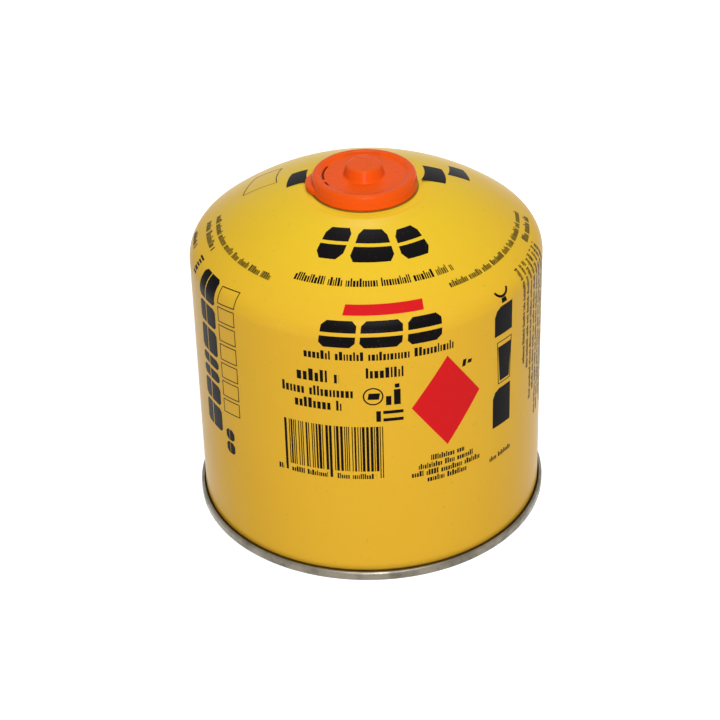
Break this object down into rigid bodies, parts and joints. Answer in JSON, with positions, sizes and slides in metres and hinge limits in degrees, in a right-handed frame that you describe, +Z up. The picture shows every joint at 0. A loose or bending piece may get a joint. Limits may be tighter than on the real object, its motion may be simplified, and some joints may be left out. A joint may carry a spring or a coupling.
{
  "type": "fuel canister",
  "caption": "Round squat gas canister with a rolled shoulder, domed top, folded base seam and a push-on cap over its screw valve.",
  "frame": {"origin": "on the canister's axis, at the foot of the base seam that it stands on", "axes": "+Z up along the canister's axis, -Y towards the printed front, +X to the right as seen from the front"},
  "size_m": [0.113, 0.113, 0.1171],
  "materials": {
    "yellow_paint": "glossy printed lacquer",
    "bare_tinplate": "bright tinplate, lightly scuffed",
    "valve_tinplate": "bright tinplate",
    "black_rubber": "moulded, dull",
    "pale_plastic": "moulded, satin",
    "orange_plastic": "moulded, satin"
  },
  "bodies": {
    "root": {"can_body": "yellow_paint", "base_end": "bare_tinplate", "valve_cup": "valve_tinplate", "valve_seal": "black_rubber", "valve_core": "pale_plastic", "cap": "orange_plastic"}
  },
  "joints": []
}
